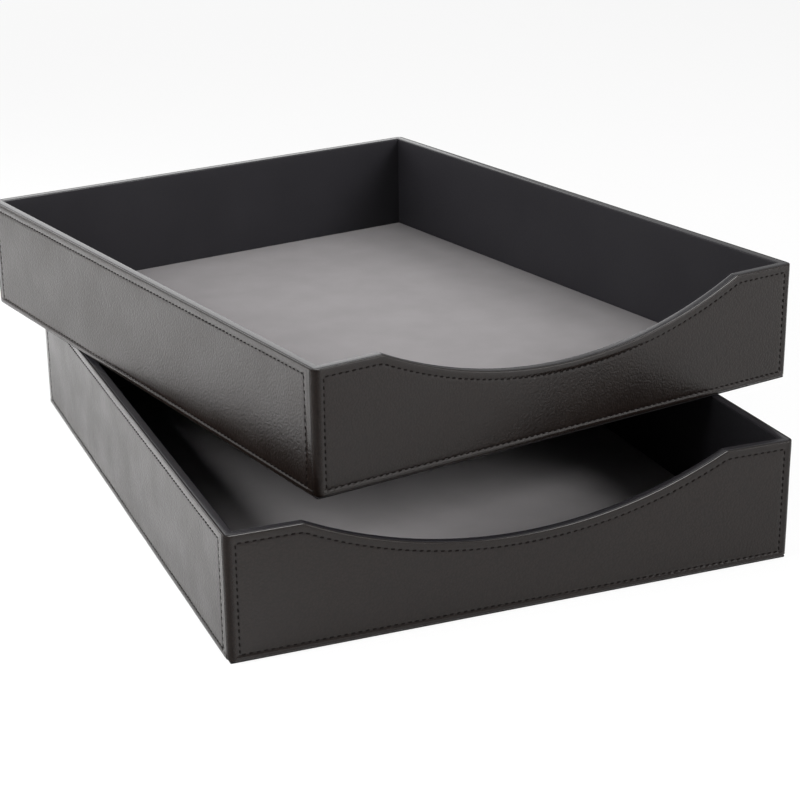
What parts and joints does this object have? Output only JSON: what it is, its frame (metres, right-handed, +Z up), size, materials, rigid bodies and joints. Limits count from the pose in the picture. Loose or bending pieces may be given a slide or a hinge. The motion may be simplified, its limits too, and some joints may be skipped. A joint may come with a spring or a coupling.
{
  "type": "document tray stack",
  "caption": "Stack of open document trays with stitched leather-covered walls and a scooped front, the upper tray standing turned on the rim of the lower one.",
  "frame": {"origin": "middle of the lower tray's underside, on the surface that the stack stands on", "axes": "+Z up, +Y from the scooped front of the lower tray to its back, +X to its right seen from the front"},
  "size_m": [0.3124, 0.3859, 0.1102],
  "materials": {
    "leather": "fine pebbled, low sheen",
    "lining": "smooth matte",
    "floor_lining": "brushed suede cloth",
    "fibreboard": "sanded",
    "thread": "waxed thread",
    "felt": "pressed felt",
    "brad_steel": "bright drawn wire"
  },
  "bodies": {
    "lower_tray": {"lower_front_board": "fibreboard", "lower_front_cover": "leather", "lower_front_lining": "lining", "lower_front_thread": "thread", "lower_back_board": "fibreboard", "lower_back_cover": "leather", "lower_back_lining": "lining", "lower_back_thread": "thread", "lower_left_board": "fibreboard", "lower_left_cover": "leather", "lower_left_lining": "lining", "lower_left_thread": "thread", "lower_right_board": "fibreboard", "lower_right_cover": "leather", "lower_right_lining": "lining", "lower_right_thread": "thread", "lower_base_board": "fibreboard", "lower_floor_lining": "floor_lining", "lower_underside_felt": "felt", "lower_brads": "brad_steel"},
    "upper_tray": {"upper_front_board": "fibreboard", "upper_front_cover": "leather", "upper_front_lining": "lining", "upper_front_thread": "thread", "upper_back_board": "fibreboard", "upper_back_cover": "leather", "upper_back_lining": "lining", "upper_back_thread": "thread", "upper_left_board": "fibreboard", "upper_left_cover": "leather", "upper_left_lining": "lining", "upper_left_thread": "thread", "upper_right_board": "fibreboard", "upper_right_cover": "leather", "upper_right_lining": "lining", "upper_right_thread": "thread", "upper_base_board": "fibreboard", "upper_floor_lining": "floor_lining", "upper_underside_felt": "felt", "upper_brads": "brad_steel"}
  },
  "joints": [
    {"name": "upper_tray_lift", "type": "slide", "parent": "lower_tray", "child": "upper_tray", "axis": [0, 0, 1], "range_m": [0, 0.15]}
  ]
}
